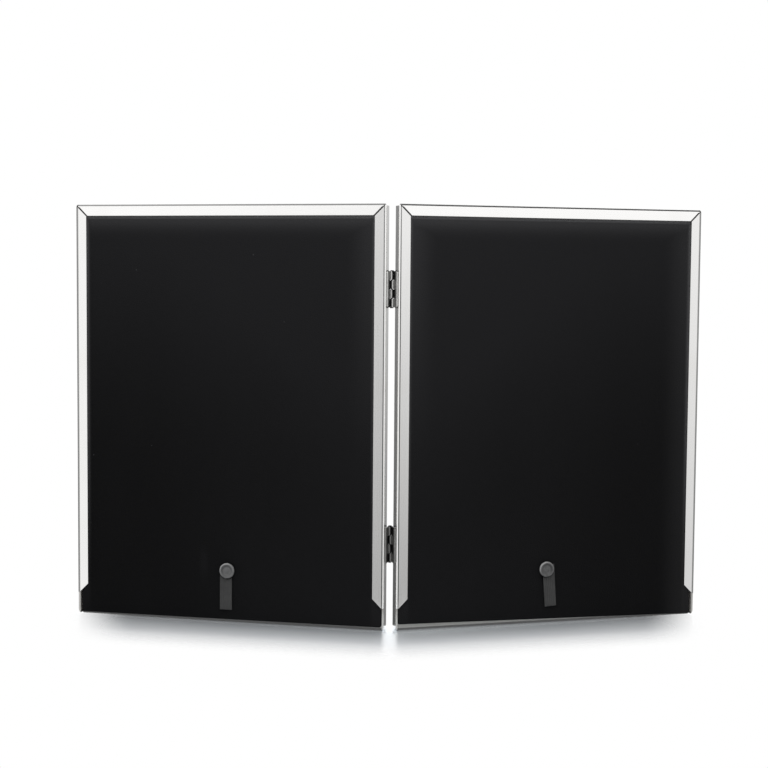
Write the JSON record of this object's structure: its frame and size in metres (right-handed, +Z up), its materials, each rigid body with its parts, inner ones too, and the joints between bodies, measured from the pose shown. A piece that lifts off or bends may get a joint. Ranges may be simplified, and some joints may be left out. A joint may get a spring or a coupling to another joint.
{
  "type": "hinged double photo frame",
  "caption": "Free-standing double photo frame: shallow folded metal trays joined by butt hinges, with glazed windows in front and strap-pulled velour boards that slide out at the back.",
  "frame": {"origin": "on the table in the middle of the footprint of the open V", "axes": "+Z up, +X to the right for someone behind the frame, +Y from the velour backs towards the open front of the V"},
  "size_m": [0.3268, 0.048, 0.215],
  "materials": {
    "silver_plate": "polished silver plate with faint lengthwise brushing",
    "glass": "clear picture glass",
    "mat_card": "thin smooth card",
    "print_paper": "blank satin photo paper",
    "filler_card": "grey card",
    "back_board": "stiff black board",
    "velour": "short matte black velour",
    "stud_metal": "dark grey satin",
    "washer_steel": "plain steel",
    "strap_band": "ribbed dark grey band",
    "hinge_metal": "satin steel",
    "pin_steel": "dark oiled steel"
  },
  "bodies": {
    "left_frame": {"left_frame_tray": "silver_plate", "left_glass": "glass", "left_locating_mat": "mat_card", "left_print_card": "print_paper", "left_filler_card": "filler_card", "upper_hinge_left_plate": "hinge_metal", "upper_hinge_pin": "pin_steel", "lower_hinge_left_plate": "hinge_metal", "lower_hinge_pin": "pin_steel"},
    "right_frame": {"right_frame_tray": "silver_plate", "right_glass": "glass", "right_locating_mat": "mat_card", "right_print_card": "print_paper", "right_filler_card": "filler_card", "upper_hinge_right_plate": "hinge_metal", "lower_hinge_right_plate": "hinge_metal"},
    "left_board": {"left_back_board": "back_board", "left_velour_cover": "velour", "left_stud": "stud_metal", "left_stud_washer": "washer_steel"},
    "right_board": {"right_back_board": "back_board", "right_velour_cover": "velour", "right_stud": "stud_metal", "right_stud_washer": "washer_steel"},
    "left_tab": {"left_pull_strap": "strap_band"},
    "right_tab": {"right_pull_strap": "strap_band"}
  },
  "joints": [
    {"name": "fold", "type": "hinge", "parent": "left_frame", "child": "right_frame", "pos_m": [0, -0.01666, 0.1075], "axis": [0, 0, 1], "range_deg": [-39.5, 151.3]},
    {"name": "left_board_slide", "type": "slide", "parent": "left_frame", "child": "left_board", "axis": [0, 0, -1], "range_m": [0, 0.2015]},
    {"name": "right_board_slide", "type": "slide", "parent": "right_frame", "child": "right_board", "axis": [0, 0, -1], "range_m": [0, 0.2015]},
    {"name": "left_tab_swivel", "type": "hinge", "parent": "left_board", "child": "left_tab", "pos_m": [-0.08336, -0.0038, 0.02705], "axis": [-0.2478, -0.9688, 0], "continuous": true},
    {"name": "right_tab_swivel", "type": "hinge", "parent": "right_board", "child": "right_tab", "pos_m": [0.08167, -0.00424, 0.0284], "axis": [0.2478, -0.9688, 0], "continuous": true}
  ]
}
